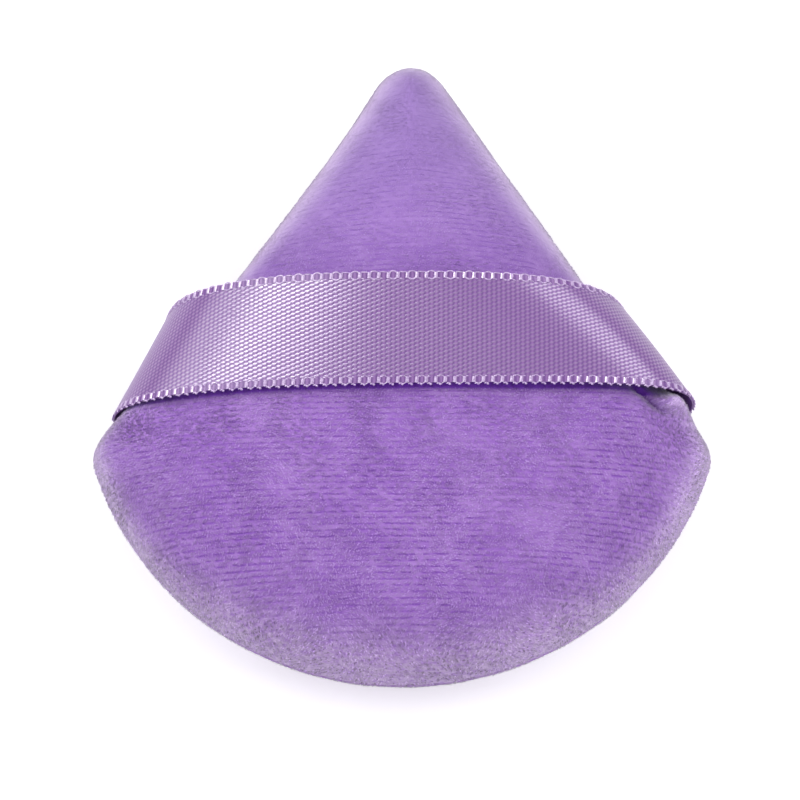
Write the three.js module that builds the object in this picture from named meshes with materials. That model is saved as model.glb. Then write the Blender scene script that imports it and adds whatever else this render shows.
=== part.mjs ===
// Triangular velour powder puff with a satin finger strap.
// Millimetres, +Z up. The puff lies on its powder face, its pointed tip towards +Y.
// Everything is built about the seam plane, which is then lifted to its height above the table.
import * as THREE from 'three';

// Outline of the sewn puff, seen from above
const puffLength = 75.7; // from the tip to the middle of the round edge
const roundEdgeRadius = 37.6;
const cornerDropAngle = 18.5; // degrees that the corners lie below the round edge's centre
const cornerRadius = 3.4;
const tipRadius = 4.8;
const sideDrawIn = 0.95; // how far the sides pull in between the tip and the corners

// Cushion, measured up and down from the seam plane
const handCrown = 12.0; // highest point of the hand side
const powderCrown = 10.8; // depth that the powder side would have if nothing pressed it flat
const restDepth = 10.0; // depth of the flat patch that lies on the table
const crownPower = 3.0; // how square the crown's section is
const rimPower = 2.0; // how round the section's edge is

// Cloth, foam and sewing
const velourThickness = 1.2;
const seamAllowance = 5.0; // width of the cloth turned in at the seam
const fitGap = 0.3; // clearance between pieces that touch
const threadDiameter = 0.36;
const seamLineDepth = 3.0; // from the cloth's inner wall to the perimeter stitching
const bastingStep = 1.1; // from the perimeter stitching in to the basting line
const turningOpeningLength = 24; // length of round edge left open to turn and fill the puff
const closingStitches = 8;

// Satin strap
const ribbonWidth = 13;
const ribbonThickness = 0.35;
const ribbonCentre = -0.2; // middle of the strap's width, along Y from the centre of the puff
const lowerArchHeight = 14.7; // of the ribbon's lower edge over the seam plane
const upperArchHeight = 17.9; // and of its upper edge, which has more slack over the narrower puff
const archPower = 3.0; // how square the arch is
const lowerStandOff = 0.7; // how far the ribbon bows out past the seam at its lower edge
const upperStandOff = 3.0; // and at its upper edge, where the puff is narrower
const ribbonTail = 4.0; // length of ribbon caught inside the seam
const legRun = 6.0; // width of each standing leg, seen from above, at the upper edge
const flexGap = 0.4; // between the legs and the stretch of ribbon that lifts

// Fineness of the faceted solids
const tipSteps = 4;
const sideSteps = 8;
const cornerSteps = 5;
const roundEdgeSteps = 22;
const crownRingCount = 8;
const threadSides = 5;
const perimeterSteps = 64;
const bastingSteps = 12;
const stepsPerStitch = 8;
const ribbonAcrossSteps = 6;
const strapCrownSteps = 22;
const strapLegSteps = 9;

const velour = { color: 0x9a70c3, roughness: 0.95, metalness: 0 };
const foam = { color: 0xf0e8d4, roughness: 0.9, metalness: 0 };
const satin = { color: 0xa37cba, roughness: 0.35, metalness: 0 };
const thread = { color: 0x8a62b4, roughness: 0.6, metalness: 0 };

// Half of the space between the two turned-in edges, which the ribbon's tails pass through
const seamHalfGap = ribbonThickness / 2 + fitGap;
const liningTop = seamHalfGap + velourThickness;
const ribbonRun = Math.sqrt(ribbonWidth ** 2 - (upperArchHeight - lowerArchHeight) ** 2);
const lowerEdge = ribbonCentre - ribbonRun / 2;
const upperEdge = ribbonCentre + ribbonRun / 2;

// Outline

// The tip and the two corners are circles, the sides their common tangents, drawn in a little,
// and the round edge an arc that runs into the corner circles. It starts at the tip and goes round by -X.
function outlineStretches() {
  const drop = THREE.MathUtils.degToRad(cornerDropAngle);
  const tip = new THREE.Vector2(0, puffLength / 2 - tipRadius);
  const roundEdge = new THREE.Vector2(0, roundEdgeRadius - puffLength / 2);
  const cornerReach = roundEdgeRadius - cornerRadius;
  const corner = new THREE.Vector2(cornerReach * Math.cos(drop), roundEdge.y - cornerReach * Math.sin(drop));
  const span = corner.clone().sub(tip);
  const sideNormal = span.angle() - 2 * Math.PI + Math.acos((tipRadius - cornerRadius) / span.length());
  const outward = new THREE.Vector2(Math.cos(sideNormal), Math.sin(sideNormal));
  const sideTop = outward.clone().multiplyScalar(tipRadius).add(tip);
  const sideFoot = outward.clone().multiplyScalar(cornerRadius).add(corner);
  const waist = sideTop.clone().add(sideFoot).multiplyScalar(0.5).addScaledVector(outward, -2 * sideDrawIn);
  const mirrored = (point) => new THREE.Vector2(-point.x, point.y);
  const bow = (...points) => new THREE.QuadraticBezierCurve(...points);
  const arc = (centre, radius, from, to) =>
    new THREE.EllipseCurve(centre.x, centre.y, radius, radius, from, to);
  return [
    { curve: arc(tip, tipRadius, Math.PI / 2, Math.PI - sideNormal), steps: tipSteps },
    { curve: bow(mirrored(sideTop), mirrored(waist), mirrored(sideFoot)), steps: sideSteps },
    { curve: arc(mirrored(corner), cornerRadius, Math.PI - sideNormal, Math.PI + drop), steps: cornerSteps },
    { curve: arc(roundEdge, roundEdgeRadius, Math.PI + drop, 2 * Math.PI - drop), steps: roundEdgeSteps },
    { curve: arc(corner, cornerRadius, -drop, sideNormal), steps: cornerSteps },
    { curve: bow(sideFoot, waist, sideTop), steps: sideSteps },
    { curve: arc(tip, tipRadius, sideNormal, Math.PI / 2), steps: tipSteps },
  ];
}

const stretches = outlineStretches();
const outline = new THREE.CurvePath();
stretches.forEach(({ curve }) => outline.add(curve));
const outlinePoints = stretches.flatMap(({ curve, steps }) => curve.getPoints(steps).slice(0, -1));
const outlineSteps = outlinePoints.length;

// The point at a share of the way round the outline, moved in towards the centre by a depth in millimetres.
function insetPoint(share, depth, height) {
  const onEdge = outline.getPoint(THREE.MathUtils.euclideanModulo(share, 1));
  const inset = onEdge.multiplyScalar(1 - depth / onEdge.length());
  return new THREE.Vector3(inset.x, inset.y, height);
}

// The share of the way round, on the -X side, at which the outline has come down to a given Y.
function shareAtY(y) {
  const halvings = 30;
  let nearTip = 0;
  let nearRoundEdge = 0.5;
  for (let k = 0; k < halvings; k++) {
    const middle = (nearTip + nearRoundEdge) / 2;
    if (outline.getPoint(middle).y > y) {
      nearTip = middle;
    } else {
      nearRoundEdge = middle;
    }
  }
  return nearTip;
}

// Half the puff's width at the seam, at a given Y.
const halfWidthAt = (y) => -outline.getPoint(shareAtY(y)).x;

// Solids

// A closed solid drawn round the outline. Each ring of the profile is the outline moved in by a depth
// and then shrunk to a share of its size; the first and last rings close to a point on the axis.
function outlineSolid(profile) {
  const positions = [];
  const faces = [];
  const rings = profile.slice(1, -1);
  for (const { depth, share, height } of rings) {
    for (const p of outlinePoints) {
      const reach = (1 - depth / p.length()) * share;
      positions.push(p.x * reach, p.y * reach, height);
    }
  }
  const firstPole = rings.length * outlineSteps;
  const lastPole = firstPole + 1;
  positions.push(0, 0, profile[0].height, 0, 0, profile[profile.length - 1].height);
  for (let i = 0; i < outlineSteps; i++) {
    const next = (i + 1) % outlineSteps;
    faces.push(firstPole, i, next);
    for (let ring = 0; ring < rings.length - 1; ring++) {
      const here = ring * outlineSteps;
      const after = here + outlineSteps;
      faces.push(here + i, after + i, after + next, here + i, after + next, here + next);
    }
    const lastRing = (rings.length - 1) * outlineSteps;
    faces.push(lastPole, lastRing + next, lastRing + i);
  }
  return geometryOf(positions, faces);
}

// A sheet of even thickness through a grid of points; rows run along it and columns across it.
function sheetSolid(grid, thickness) {
  const along = grid.length;
  const across = grid[0].length;
  const positions = [];
  const faces = [];
  const clampedPoint = (a, c) =>
    grid[THREE.MathUtils.clamp(a, 0, along - 1)][THREE.MathUtils.clamp(c, 0, across - 1)];
  for (const side of [0.5, -0.5]) {
    for (let a = 0; a < along; a++) {
      for (let c = 0; c < across; c++) {
        const ahead = clampedPoint(a + 1, c).clone().sub(clampedPoint(a - 1, c));
        const beside = clampedPoint(a, c + 1).clone().sub(clampedPoint(a, c - 1));
        const normal = ahead.cross(beside).normalize();
        positions.push(...grid[a][c].clone().addScaledVector(normal, side * thickness));
      }
    }
  }
  const at = (a, c, layer) => layer * along * across + a * across + c;
  const quad = (p, q, r, s) => faces.push(p, q, r, p, r, s);
  for (let a = 0; a < along - 1; a++) {
    for (let c = 0; c < across - 1; c++) {
      quad(at(a, c, 0), at(a + 1, c, 0), at(a + 1, c + 1, 0), at(a, c + 1, 0));
      quad(at(a, c, 1), at(a, c + 1, 1), at(a + 1, c + 1, 1), at(a + 1, c, 1));
    }
    quad(at(a, 0, 0), at(a, 0, 1), at(a + 1, 0, 1), at(a + 1, 0, 0));
    quad(at(a, across - 1, 0), at(a + 1, across - 1, 0), at(a + 1, across - 1, 1), at(a, across - 1, 1));
  }
  for (let c = 0; c < across - 1; c++) {
    quad(at(0, c, 0), at(0, c + 1, 0), at(0, c + 1, 1), at(0, c, 1));
    quad(at(along - 1, c, 0), at(along - 1, c, 1), at(along - 1, c + 1, 1), at(along - 1, c + 1, 0));
  }
  return geometryOf(positions, faces);
}

// A thread along a row of points.
function threadSolid(points, steps) {
  const section = new THREE.Shape();
  section.absarc(0, 0, threadDiameter / 2, 0, 2 * Math.PI);
  const extrudePath = new THREE.CatmullRomCurve3(points);
  const curveSegments = Math.ceil(threadSides / 2);
  return new THREE.ExtrudeGeometry(section, { steps, extrudePath, curveSegments, bevelEnabled: false });
}

function geometryOf(positions, faces) {
  const geometry = new THREE.BufferGeometry();
  geometry.setAttribute('position', new THREE.Float32BufferAttribute(positions, 3));
  geometry.setIndex(faces);
  geometry.computeVertexNormals();
  return geometry;
}

// Cushion

// Where the rings of a crowned face lie between its centre and its edge; they close up as it falls away.
const crownShares = Array.from({ length: crownRingCount }, (_, k) =>
  Math.sin((Math.PI / 2) * ((k + 1) / (crownRingCount + 1))));
const pole = (height) => ({ depth: 0, share: 0, height });

// How much of its full height the crown has at a share of the way from the centre to the edge, and back.
const crownAt = (share) => (1 - share ** crownPower) ** (1 / rimPower);
const shareAt = (crown) => (1 - crown ** rimPower) ** (1 / crownPower);

// Rings of the crowned face that lies a depth inside the cloth's outer face, from the centre outwards.
// Heights are counted away from the seam plane, no further than the flat patch where there is one.
function crownRings(fullCrown, depth, flatAt = Infinity) {
  const rise = fullCrown - depth - seamHalfGap;
  const flat = flatAt - depth;
  const hasFlat = flat < fullCrown - depth;
  const flatEdge = hasFlat ? shareAt((flat - seamHalfGap) / rise) : 0;
  const flatRing = hasFlat ? [{ depth, share: flatEdge, height: flat }] : [];
  const slope = crownShares.filter((share) => share > flatEdge);
  return [
    ...flatRing,
    ...slope.map((share) => ({ depth, share, height: seamHalfGap + rise * crownAt(share) })),
  ];
}

const below = (rings) => rings.map((ring) => ({ ...ring, height: -ring.height }));
const rim = { depth: 0, share: 1, height: seamHalfGap };
const liningDepth = velourThickness + seamAllowance;

// The rings of a turned-in edge, from the rim inwards and back out to where the cloth's inner wall starts.
function turnedEdge(innerCrown) {
  const rise = innerCrown - seamHalfGap;
  const foot = shareAt((liningTop - seamHalfGap) / rise);
  return [
    rim,
    { depth: liningDepth, share: 1, height: seamHalfGap },
    { depth: liningDepth, share: 1, height: liningTop },
    { depth: velourThickness, share: foot, height: liningTop },
  ];
}

// Inner rings that lie above the turned-in edge.
const aboveEdge = (rings, edgeHeight) => rings.filter((ring) => ring.height > edgeHeight + fitGap);

function handPanel() {
  const inner = aboveEdge(crownRings(handCrown, velourThickness), liningTop);
  return outlineSolid([
    pole(handCrown),
    ...crownRings(handCrown, 0),
    ...turnedEdge(handCrown - velourThickness),
    ...inner.reverse(),
    pole(handCrown - velourThickness),
  ]);
}

function powderPanel() {
  const inner = aboveEdge(crownRings(powderCrown, velourThickness, restDepth), liningTop);
  const fromOutside = [
    pole(restDepth),
    ...crownRings(powderCrown, 0, restDepth),
    ...turnedEdge(powderCrown - velourThickness),
    ...inner.reverse(),
    pole(restDepth - velourThickness),
  ];
  return outlineSolid(below(fromOutside.reverse()));
}

// The foam fills the cover and is pinched in all round by the turned-in edges and their stitching.
function foamCore() {
  const foamDepth = velourThickness + fitGap;
  const slotTop = liningTop + threadDiameter + 2 * fitGap;
  const slotDepth = liningDepth + fitGap;
  const half = (fullCrown, flatAt) => {
    const rise = fullCrown - foamDepth - seamHalfGap;
    const lip = { depth: foamDepth, share: shareAt((slotTop - seamHalfGap) / rise), height: slotTop };
    const rings = aboveEdge(crownRings(fullCrown, foamDepth, flatAt), slotTop);
    const top = Math.min(fullCrown, flatAt) - foamDepth;
    return [pole(top), ...rings, lip, { depth: slotDepth, share: 1, height: slotTop }];
  };
  return outlineSolid([
    ...half(handCrown, Infinity),
    ...below(half(powderCrown, restDepth).reverse()),
  ]);
}

// Sewing

const threadHeight = liningTop + fitGap + threadDiameter / 2;
const seamDepth = velourThickness + seamLineDepth;
const openingShare = turningOpeningLength / outline.getLength();

// Points spaced evenly from one share of the outline to another.
function runPoints(from, to, depth, height, count) {
  return Array.from({ length: count + 1 }, (_, k) =>
    insetPoint(THREE.MathUtils.lerp(from, to, k / count), depth, height));
}

// The perimeter stitching runs from one end of the turning opening right round to the other.
function perimeterThread(height) {
  const from = 0.5 + openingShare / 2;
  const points = runPoints(from, from + 1 - openingShare, seamDepth, height, perimeterSteps);
  return threadSolid(points, perimeterSteps);
}

// The closing thread laces the two turned-in edges together across the opening.
function closingThread() {
  const turns = 2 * closingStitches;
  const points = Array.from({ length: turns + 1 }, (_, k) => {
    const share = 0.5 + openingShare * (k / turns - 0.5);
    return insetPoint(share, k % 2 ? seamDepth : velourThickness, 0);
  });
  return threadSolid(points, closingStitches * stepsPerStitch);
}

// A basting line holds each end of the strap to the hand panel before the puff is sewn together.
function bastingThread() {
  const points = runPoints(
    shareAtY(upperEdge), shareAtY(lowerEdge), seamDepth + bastingStep, threadHeight, bastingSteps);
  return threadSolid(points, bastingSteps);
}

// Strap

// For one line along the ribbon: its place in Y, where it leaves the seam, how far out its foot stands
// and how high it arches.
const ribbonLines = Array.from({ length: ribbonAcrossSteps + 1 }, (_, k) => {
  const share = k / ribbonAcrossSteps;
  const y = THREE.MathUtils.lerp(lowerEdge, upperEdge, share);
  const seam = halfWidthAt(y);
  const foot = seam + THREE.MathUtils.lerp(lowerStandOff, upperStandOff, share);
  const height = THREE.MathUtils.lerp(lowerArchHeight, upperArchHeight, share);
  return { y, seam, foot, height };
});
const crownHalf = ribbonLines[ribbonAcrossSteps].foot - legRun;

// The arch is a rounded square: an angle of 0 is its right foot and half a turn its left foot.
function archPoint(line, angle) {
  const cos = Math.cos(angle);
  const sin = Math.sin(angle);
  const x = line.foot * Math.sign(cos) * Math.abs(cos) ** (2 / archPower);
  return new THREE.Vector3(x, line.y, line.height * Math.abs(sin) ** (2 / archPower));
}

const angleAt = (line, x) => Math.acos((x / line.foot) ** (archPower / 2));

// The stretch over the fingers, which lifts and settles.
function strapCrown() {
  const rows = Array.from({ length: strapCrownSteps + 1 }, (_, k) =>
    ribbonLines.map((line) => {
      const from = angleAt(line, crownHalf - flexGap);
      return archPoint(line, THREE.MathUtils.lerp(from, Math.PI - from, k / strapCrownSteps));
    }));
  return sheetSolid(rows, ribbonThickness);
}

// A leg runs from its tail inside the seam, out past the edge, and up to the lifting stretch.
function strapLeg() {
  const tail = ribbonLines.map((line) => new THREE.Vector3(line.seam - ribbonTail, line.y, 0));
  const exit = ribbonLines.map((line) => new THREE.Vector3(line.seam, line.y, 0));
  const arch = Array.from({ length: strapLegSteps + 1 }, (_, k) =>
    ribbonLines.map((line) => archPoint(line, (angleAt(line, crownHalf) * k) / strapLegSteps)));
  return sheetSolid([tail, exit, ...arch], ribbonThickness);
}

// Assembly

const seamFrame = new THREE.Group();
seamFrame.position.z = restDepth;

function addPiece(name, geometry, finish, mirrored = false) {
  const piece = new THREE.Mesh(geometry, new THREE.MeshStandardMaterial(finish));
  piece.name = name;
  piece.scale.x = mirrored ? -1 : 1;
  seamFrame.add(piece);
}

addPiece('hand_velour_panel', handPanel(), velour);
addPiece('powder_velour_panel', powderPanel(), velour);
addPiece('foam_core', foamCore(), foam);
addPiece('strap_crown', strapCrown(), satin);
addPiece('strap_right_leg', strapLeg(), satin);
addPiece('strap_left_leg', strapLeg(), satin, true);
addPiece('seam_needle_thread', perimeterThread(threadHeight), thread);
addPiece('seam_bobbin_thread', perimeterThread(-threadHeight), thread);
addPiece('closing_thread', closingThread(), thread);
addPiece('left_basting_thread', bastingThread(), thread);
addPiece('right_basting_thread', bastingThread(), thread, true);

const powderPuff = new THREE.Group();
powderPuff.add(seamFrame);

export default powderPuff;
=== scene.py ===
import bpy
import math
import numpy as np
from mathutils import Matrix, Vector
from mathutils.kdtree import KDTree


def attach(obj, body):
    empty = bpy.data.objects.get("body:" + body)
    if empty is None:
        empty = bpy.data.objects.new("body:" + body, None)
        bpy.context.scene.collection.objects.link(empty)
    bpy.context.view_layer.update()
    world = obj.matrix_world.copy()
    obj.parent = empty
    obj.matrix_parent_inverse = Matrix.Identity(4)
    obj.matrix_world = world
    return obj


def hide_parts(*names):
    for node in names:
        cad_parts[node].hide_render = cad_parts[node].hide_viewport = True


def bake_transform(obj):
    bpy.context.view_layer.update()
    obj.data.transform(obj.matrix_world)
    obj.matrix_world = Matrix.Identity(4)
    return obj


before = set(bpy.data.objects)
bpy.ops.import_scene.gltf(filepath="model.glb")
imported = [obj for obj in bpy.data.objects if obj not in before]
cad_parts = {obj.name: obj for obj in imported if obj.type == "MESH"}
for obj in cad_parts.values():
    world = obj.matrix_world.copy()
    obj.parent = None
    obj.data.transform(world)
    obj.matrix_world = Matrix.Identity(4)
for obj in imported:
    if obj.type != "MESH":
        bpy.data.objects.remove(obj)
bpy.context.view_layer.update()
mm = 0.001
print("frame loaded:", len(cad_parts), "nodes")


def setMode(mode):
    bpy.ops.object.mode_set(mode=mode)


def dropSelection():
    if bpy.context.object and bpy.context.object.mode != "OBJECT":
        setMode("OBJECT")
    bpy.ops.object.select_all(action="DESELECT")


def take(piece):  # makes it the only selected and the active object
    dropSelection()
    piece.select_set(True)
    bpy.context.view_layer.objects.active = piece


def justAdded(name):
    piece = bpy.context.object
    piece.name = name
    piece.data.name = name
    return piece


def readPoints(piece):
    flat = np.empty(len(piece.data.vertices) * 3, dtype=np.float32)
    piece.data.vertices.foreach_get("co", flat)
    return flat.reshape(-1, 3).astype(float)


def readNormals(piece):
    flat = np.empty(len(piece.data.vertices) * 3, dtype=np.float32)
    piece.data.vertex_normals.foreach_get("vector", flat)
    return flat.reshape(-1, 3).astype(float)


def setPoints(piece, points):
    piece.data.vertices.foreach_set("co", np.asarray(points, dtype=np.float32).ravel())
    piece.data.update()


def pickedVerts(piece):
    flags = np.empty(len(piece.data.vertices), dtype=bool)
    piece.data.vertices.foreach_get("select", flags)
    return np.nonzero(flags)[0]


def applyModifier(piece, kind, **settings):
    take(piece)
    bpy.ops.object.modifier_add(type=kind)
    modifier = piece.modifiers[-1]
    for name, value in settings.items():
        setattr(modifier, name, value)
    bpy.ops.object.modifier_apply(modifier=modifier.name)


def smoothStep(value):
    value = np.clip(value, 0, 1)
    return value * value * (3 - 2 * value)


def colour(red, green, blue):  # from the 0 to 255 scale of a picture to linear light
    def linear(level):
        level = level / 255
        return level / 12.92 if level <= 0.04045 else ((level + 0.055) / 1.055) ** 2.4
    return (linear(red), linear(green), linear(blue), 1.0)


photoView = {
    "elevation": 72.0,  # degrees above the table, looking along +Y
    "distance": 380 * mm,
    "aim": (-0.23 * mm, -3.31 * mm, 8.93 * mm),
    "lens": 145.9,
}


def placeCamera(view):
    tilt = math.radians(90 - view["elevation"])
    x, y, z = view["aim"]
    back = view["distance"]
    dropSelection()
    bpy.ops.object.camera_add(
        location=(x, y - back * math.sin(tilt), z + back * math.cos(tilt)),
        rotation=(tilt, 0, 0),
    )
    camera = bpy.context.object
    camera.data.lens = view["lens"]
    camera.data.clip_start = 0.01
    bpy.context.scene.camera = camera


placeCamera(photoView)
print("camera placed")

# the puff's cut, seen from above
puffCut = {
    "length": 75.7 * mm,
    "roundEdgeRadius": 37.6 * mm,
    "cornerDrop": 18.5,  # degrees
    "cornerRadius": 3.4 * mm,
    "tipRadius": 4.8 * mm,
    "leftDrawIn": 1.36 * mm,
    "rightDrawIn": 0.54 * mm,
    "tipLean": 1.07 * mm,
    "leanFrom": -5 * mm,
    "points": 1600,
}


def sideLine(cut, drawIn):  # from the middle of the tip, down the right, to the middle of the round edge
    top = cut["length"] / 2
    tip = np.array([0, top - cut["tipRadius"]])
    roundCentre = np.array([0, cut["roundEdgeRadius"] - top])
    drop = math.radians(cut["cornerDrop"])
    reach = cut["roundEdgeRadius"] - cut["cornerRadius"]
    corner = roundCentre + reach * np.array([math.cos(drop), -math.sin(drop)])
    along = corner - tip
    span = np.hypot(*along)
    along = along / span
    lift = (cut["tipRadius"] - cut["cornerRadius"]) / span
    outward = along * lift + np.array([-along[1], along[0]]) * math.sqrt(1 - lift * lift)
    turn = math.atan2(outward[1], outward[0])

    def arc(centre, radius, start, end, steps):
        angles = np.linspace(start, end, steps)
        return centre + radius * np.stack([np.cos(angles), np.sin(angles)], 1)

    start, end = tip + cut["tipRadius"] * outward, corner + cut["cornerRadius"] * outward
    pull = (start + end) / 2 - 2 * drawIn * outward
    t = np.linspace(0, 1, 200)[:, None]
    side = (1 - t) ** 2 * start + 2 * t * (1 - t) * pull + t * t * end
    return np.concatenate([
        arc(tip, cut["tipRadius"], math.pi / 2, turn, 60)[:-1],
        side[:-1],
        arc(corner, cut["cornerRadius"], turn, -drop, 60)[:-1],
        arc(roundCentre, cut["roundEdgeRadius"], -drop, -math.pi / 2, 200),
    ])


def tipShift(cut, y):  # the tip leans to the right
    return cut["tipLean"] * smoothStep((y - cut["leanFrom"]) / (cut["length"] / 2 - cut["leanFrom"]))


def puffOutline(cut):  # a closed line from the tip down the left side and back up the right
    left = sideLine(cut, cut["leftDrawIn"]) * (-1, 1)
    right = sideLine(cut, cut["rightDrawIn"])
    loop = np.concatenate([left, right[::-1][1:]])
    loop[:, 0] += tipShift(cut, loop[:, 1])
    far = np.concatenate([[0], np.cumsum(np.hypot(*np.diff(loop, axis=0).T))])
    marks = np.linspace(0, far[-1], cut["points"] + 1)[:-1]
    loop = np.stack([np.interp(marks, far, loop[:, 0]), np.interp(marks, far, loop[:, 1])], 1)
    for _ in range(12):  # eases the joints between arcs
        loop = (np.roll(loop, 1, 0) + 2 * loop + np.roll(loop, -1, 0)) / 4
    return loop


outline = puffOutline(puffCut)
outlineStep = np.roll(outline, -1, 0) - np.roll(outline, 1, 0)
outlineInward = np.stack([-outlineStep[:, 1], outlineStep[:, 0]], 1)
outlineInward /= np.linalg.norm(outlineInward, axis=1)[:, None]

rimTree = KDTree(len(outline))
for rimIndex, (rimX, rimY) in enumerate(outline):
    rimTree.insert((rimX, rimY, 0), rimIndex)
rimTree.balance()


def nearestRim(points):  # distance to the outline and its nearest mark
    found = [rimTree.find((x, y, 0)) for x, y in np.asarray(points)[:, :2]]
    return np.array([hit[2] for hit in found]), np.array([hit[1] for hit in found])


def seamReach(y, side):  # x of the side seam at y, side -1 left or 1 right
    half = outline[outline[:, 0] * side > 0]
    half = half[half[:, 1] > -12 * mm]  # above the corners
    half = half[np.argsort(half[:, 1])]
    return np.interp(y, half[:, 1], half[:, 0])


cushion = {
    "cells": 64,
    "seamHeight": 10.0 * mm,
    "handCrown": 12.8 * mm,
    "powderCrown": 10.8 * mm,
    "restDepth": 10.0 * mm,
    "edgeRun": 28 * mm,  # how far in from the seam the face keeps rising
    "edgePower": 3.0,
    "startShare": 0.9,  # the faces start lower, and are scaled up once the cloth has settled
    "frames": 20,
    "rules": {  # the cloth's, as Blender names them
        "quality": 8,
        "mass": 0.3,
        "tension_stiffness": 15,
        "compression_stiffness": 15,
        "shear_stiffness": 5,
        "bending_stiffness": 0.5,
        "vertex_group_mass": "seam",
        "use_pressure": True,
        "uniform_pressure_force": 4.0,
    },
    "mostSwell": 2.2 * mm,
    "seamStep": 0.42 * mm,  # from the seam to each face's rim
    "seamGroove": 0.4 * mm,
    "lip": 3.0 * mm,
    "lipGap": 0.12 * mm,  # from the seam to the turned-in cloth
    "cloth": 1.2 * mm,
}


def layFace(name, lay, side, crown):  # a square of cells drawn out to the outline and domed
    dropSelection()
    bpy.ops.mesh.primitive_grid_add(x_subdivisions=lay["cells"], y_subdivisions=lay["cells"], size=2)
    face = justAdded(name)
    u, v = readPoints(face)[:, :2].T
    x, y = u * np.sqrt(1 - v * v / 2), v * np.sqrt(1 - u * u / 2)
    ring = np.hypot(x, y)[:, None]
    share = (np.arctan2(-x, y) / (2 * math.pi)) % 1
    marks = np.arange(len(outline) + 1) / len(outline)
    closed = np.concatenate([outline, outline[:1]])
    rim = np.stack([np.interp(share, marks, closed[:, 0]), np.interp(share, marks, closed[:, 1])], 1)
    centre = outline.mean(0)
    flat = centre + (rim - centre) * ring
    far, _ = nearestRim(flat)
    far[ring[:, 0] > 0.9999] = 0
    rise = np.sqrt(1 - (1 - np.clip(far / lay["edgeRun"], 0, 1)) ** lay["edgePower"])
    height = lay["seamHeight"] + side * crown * lay["startShare"] * rise
    setPoints(face, np.column_stack([flat, height]))
    return face


def swell(pillow, lay):  # cloth under pressure, held along the seam
    before = readPoints(pillow)
    seam = np.nonzero(np.abs(before[:, 2] - lay["seamHeight"]) < 1e-6)[0]
    group = pillow.vertex_groups.new(name="seam")
    group.add([int(i) for i in seam], 1.0, "REPLACE")
    take(pillow)
    bpy.ops.object.modifier_add(type="CLOTH")
    cloth = pillow.modifiers[-1]
    for name, value in lay["rules"].items():
        setattr(cloth.settings, name, value)
    cloth.settings.effector_weights.gravity = 0
    cloth.collision_settings.use_collision = False
    scene = bpy.context.scene
    for step in range(1, lay["frames"] + 1):
        scene.frame_set(step)
    bpy.ops.object.modifier_apply(modifier=cloth.name)
    scene.frame_set(1)
    moved = readPoints(pillow) - before
    reach = np.linalg.norm(moved, axis=1)
    print("  cloth moved up to", round(float(reach.max()) / mm, 2), "mm")
    keep = np.minimum(1, lay["mostSwell"] / np.maximum(reach, 1e-9))[:, None]
    setPoints(pillow, before + moved * keep)


def makeCushion(lay):
    top = layFace("puff_hand_face", lay, 1, lay["handCrown"])
    low = layFace("puff_powder_face", lay, -1, lay["powderCrown"])
    for face, name in ((top, "handSide"), (low, "powderSide")):
        face.data.materials.append(bpy.data.materials.new(name))
    take(low)
    setMode("EDIT")
    bpy.ops.mesh.select_all(action="SELECT")
    bpy.ops.mesh.flip_normals()
    setMode("OBJECT")
    top.name = "puff_pillow"
    take(top)
    low.select_set(True)
    bpy.ops.object.join()
    setMode("EDIT")
    bpy.ops.mesh.select_all(action="SELECT")
    bpy.ops.mesh.remove_doubles(threshold=0.01 * mm)
    setMode("OBJECT")
    swell(top, lay)
    setMode("EDIT")
    bpy.ops.mesh.separate(type="MATERIAL")
    setMode("OBJECT")
    top, low = sorted(bpy.context.selected_objects, key=lambda o: -readPoints(o)[:, 2].max())
    for face, name in ((low, "puff_powder_face"), (top, "puff_hand_face")):
        face.name = face.data.name = name
    for face, crown in ((top, lay["handCrown"]), (low, lay["powderCrown"])):
        side = 1 if face is top else -1
        face.data.materials.clear()
        points = readPoints(face)
        rise = side * (points[:, 2] - lay["seamHeight"])
        print("  ", face.name, "stands", round(rise.max() / mm, 2), "mm from the seam")
        rise = rise / rise.max() * (crown - lay["seamStep"])
        if side < 0:  # settles flat where it lies on the table
            room = lay["restDepth"] - lay["seamStep"] - rise
            rise = lay["restDepth"] - lay["seamStep"] - 0.5 * (room + np.sqrt(room ** 2 + (0.35 * mm) ** 2))
        points[:, 2] = lay["seamHeight"] + side * (rise + lay["seamStep"])
        setPoints(face, points)
        applyModifier(face, "SUBSURF", levels=1, render_levels=1)
    return top, low


puffTop, puffLow = makeCushion(cushion)
print("cushion swelled")

# the cloth bunches up where the ribbon's ends are caught in the seam
gather = {
    # each lump's last value paints it pale: painted light on the bunch at the right end
    "lumps": (
        {"at": (22.0, -7.0), "size": (6.0, 4.5), "push": (0.0, 0.0, 0.9), "wearAndPaintedLight": 0.0},  # mm
        {"at": (27.0, -7.5), "size": (5.0, 4.0), "push": (0.1, 0.0, 1.6), "wearAndPaintedLight": 0.0},
        {"at": (31.6, -6.8), "size": (2.0, 1.8), "push": (0.0, -0.2, 4.8), "wearAndPaintedLight": 1.0},
        {"at": (-31.8, -6.6), "size": (3.6, 2.6), "push": (0.0, 0.0, 1.0), "wearAndPaintedLight": 0.0},
    ),
    "crease": ((26.4, -5.6), (27.1, -6.1), (28.2, -7.2), (29.4, -8.0), (31.9, -8.4)),  # mm
    "creaseWidth": 0.45 * mm,
    "creaseDepth": 1.2 * mm,
}


def lumpShare(points, lump):
    away = (points[:, :2] / mm - lump["at"]) / lump["size"]
    return np.exp(-(away ** 2).sum(1))


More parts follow.
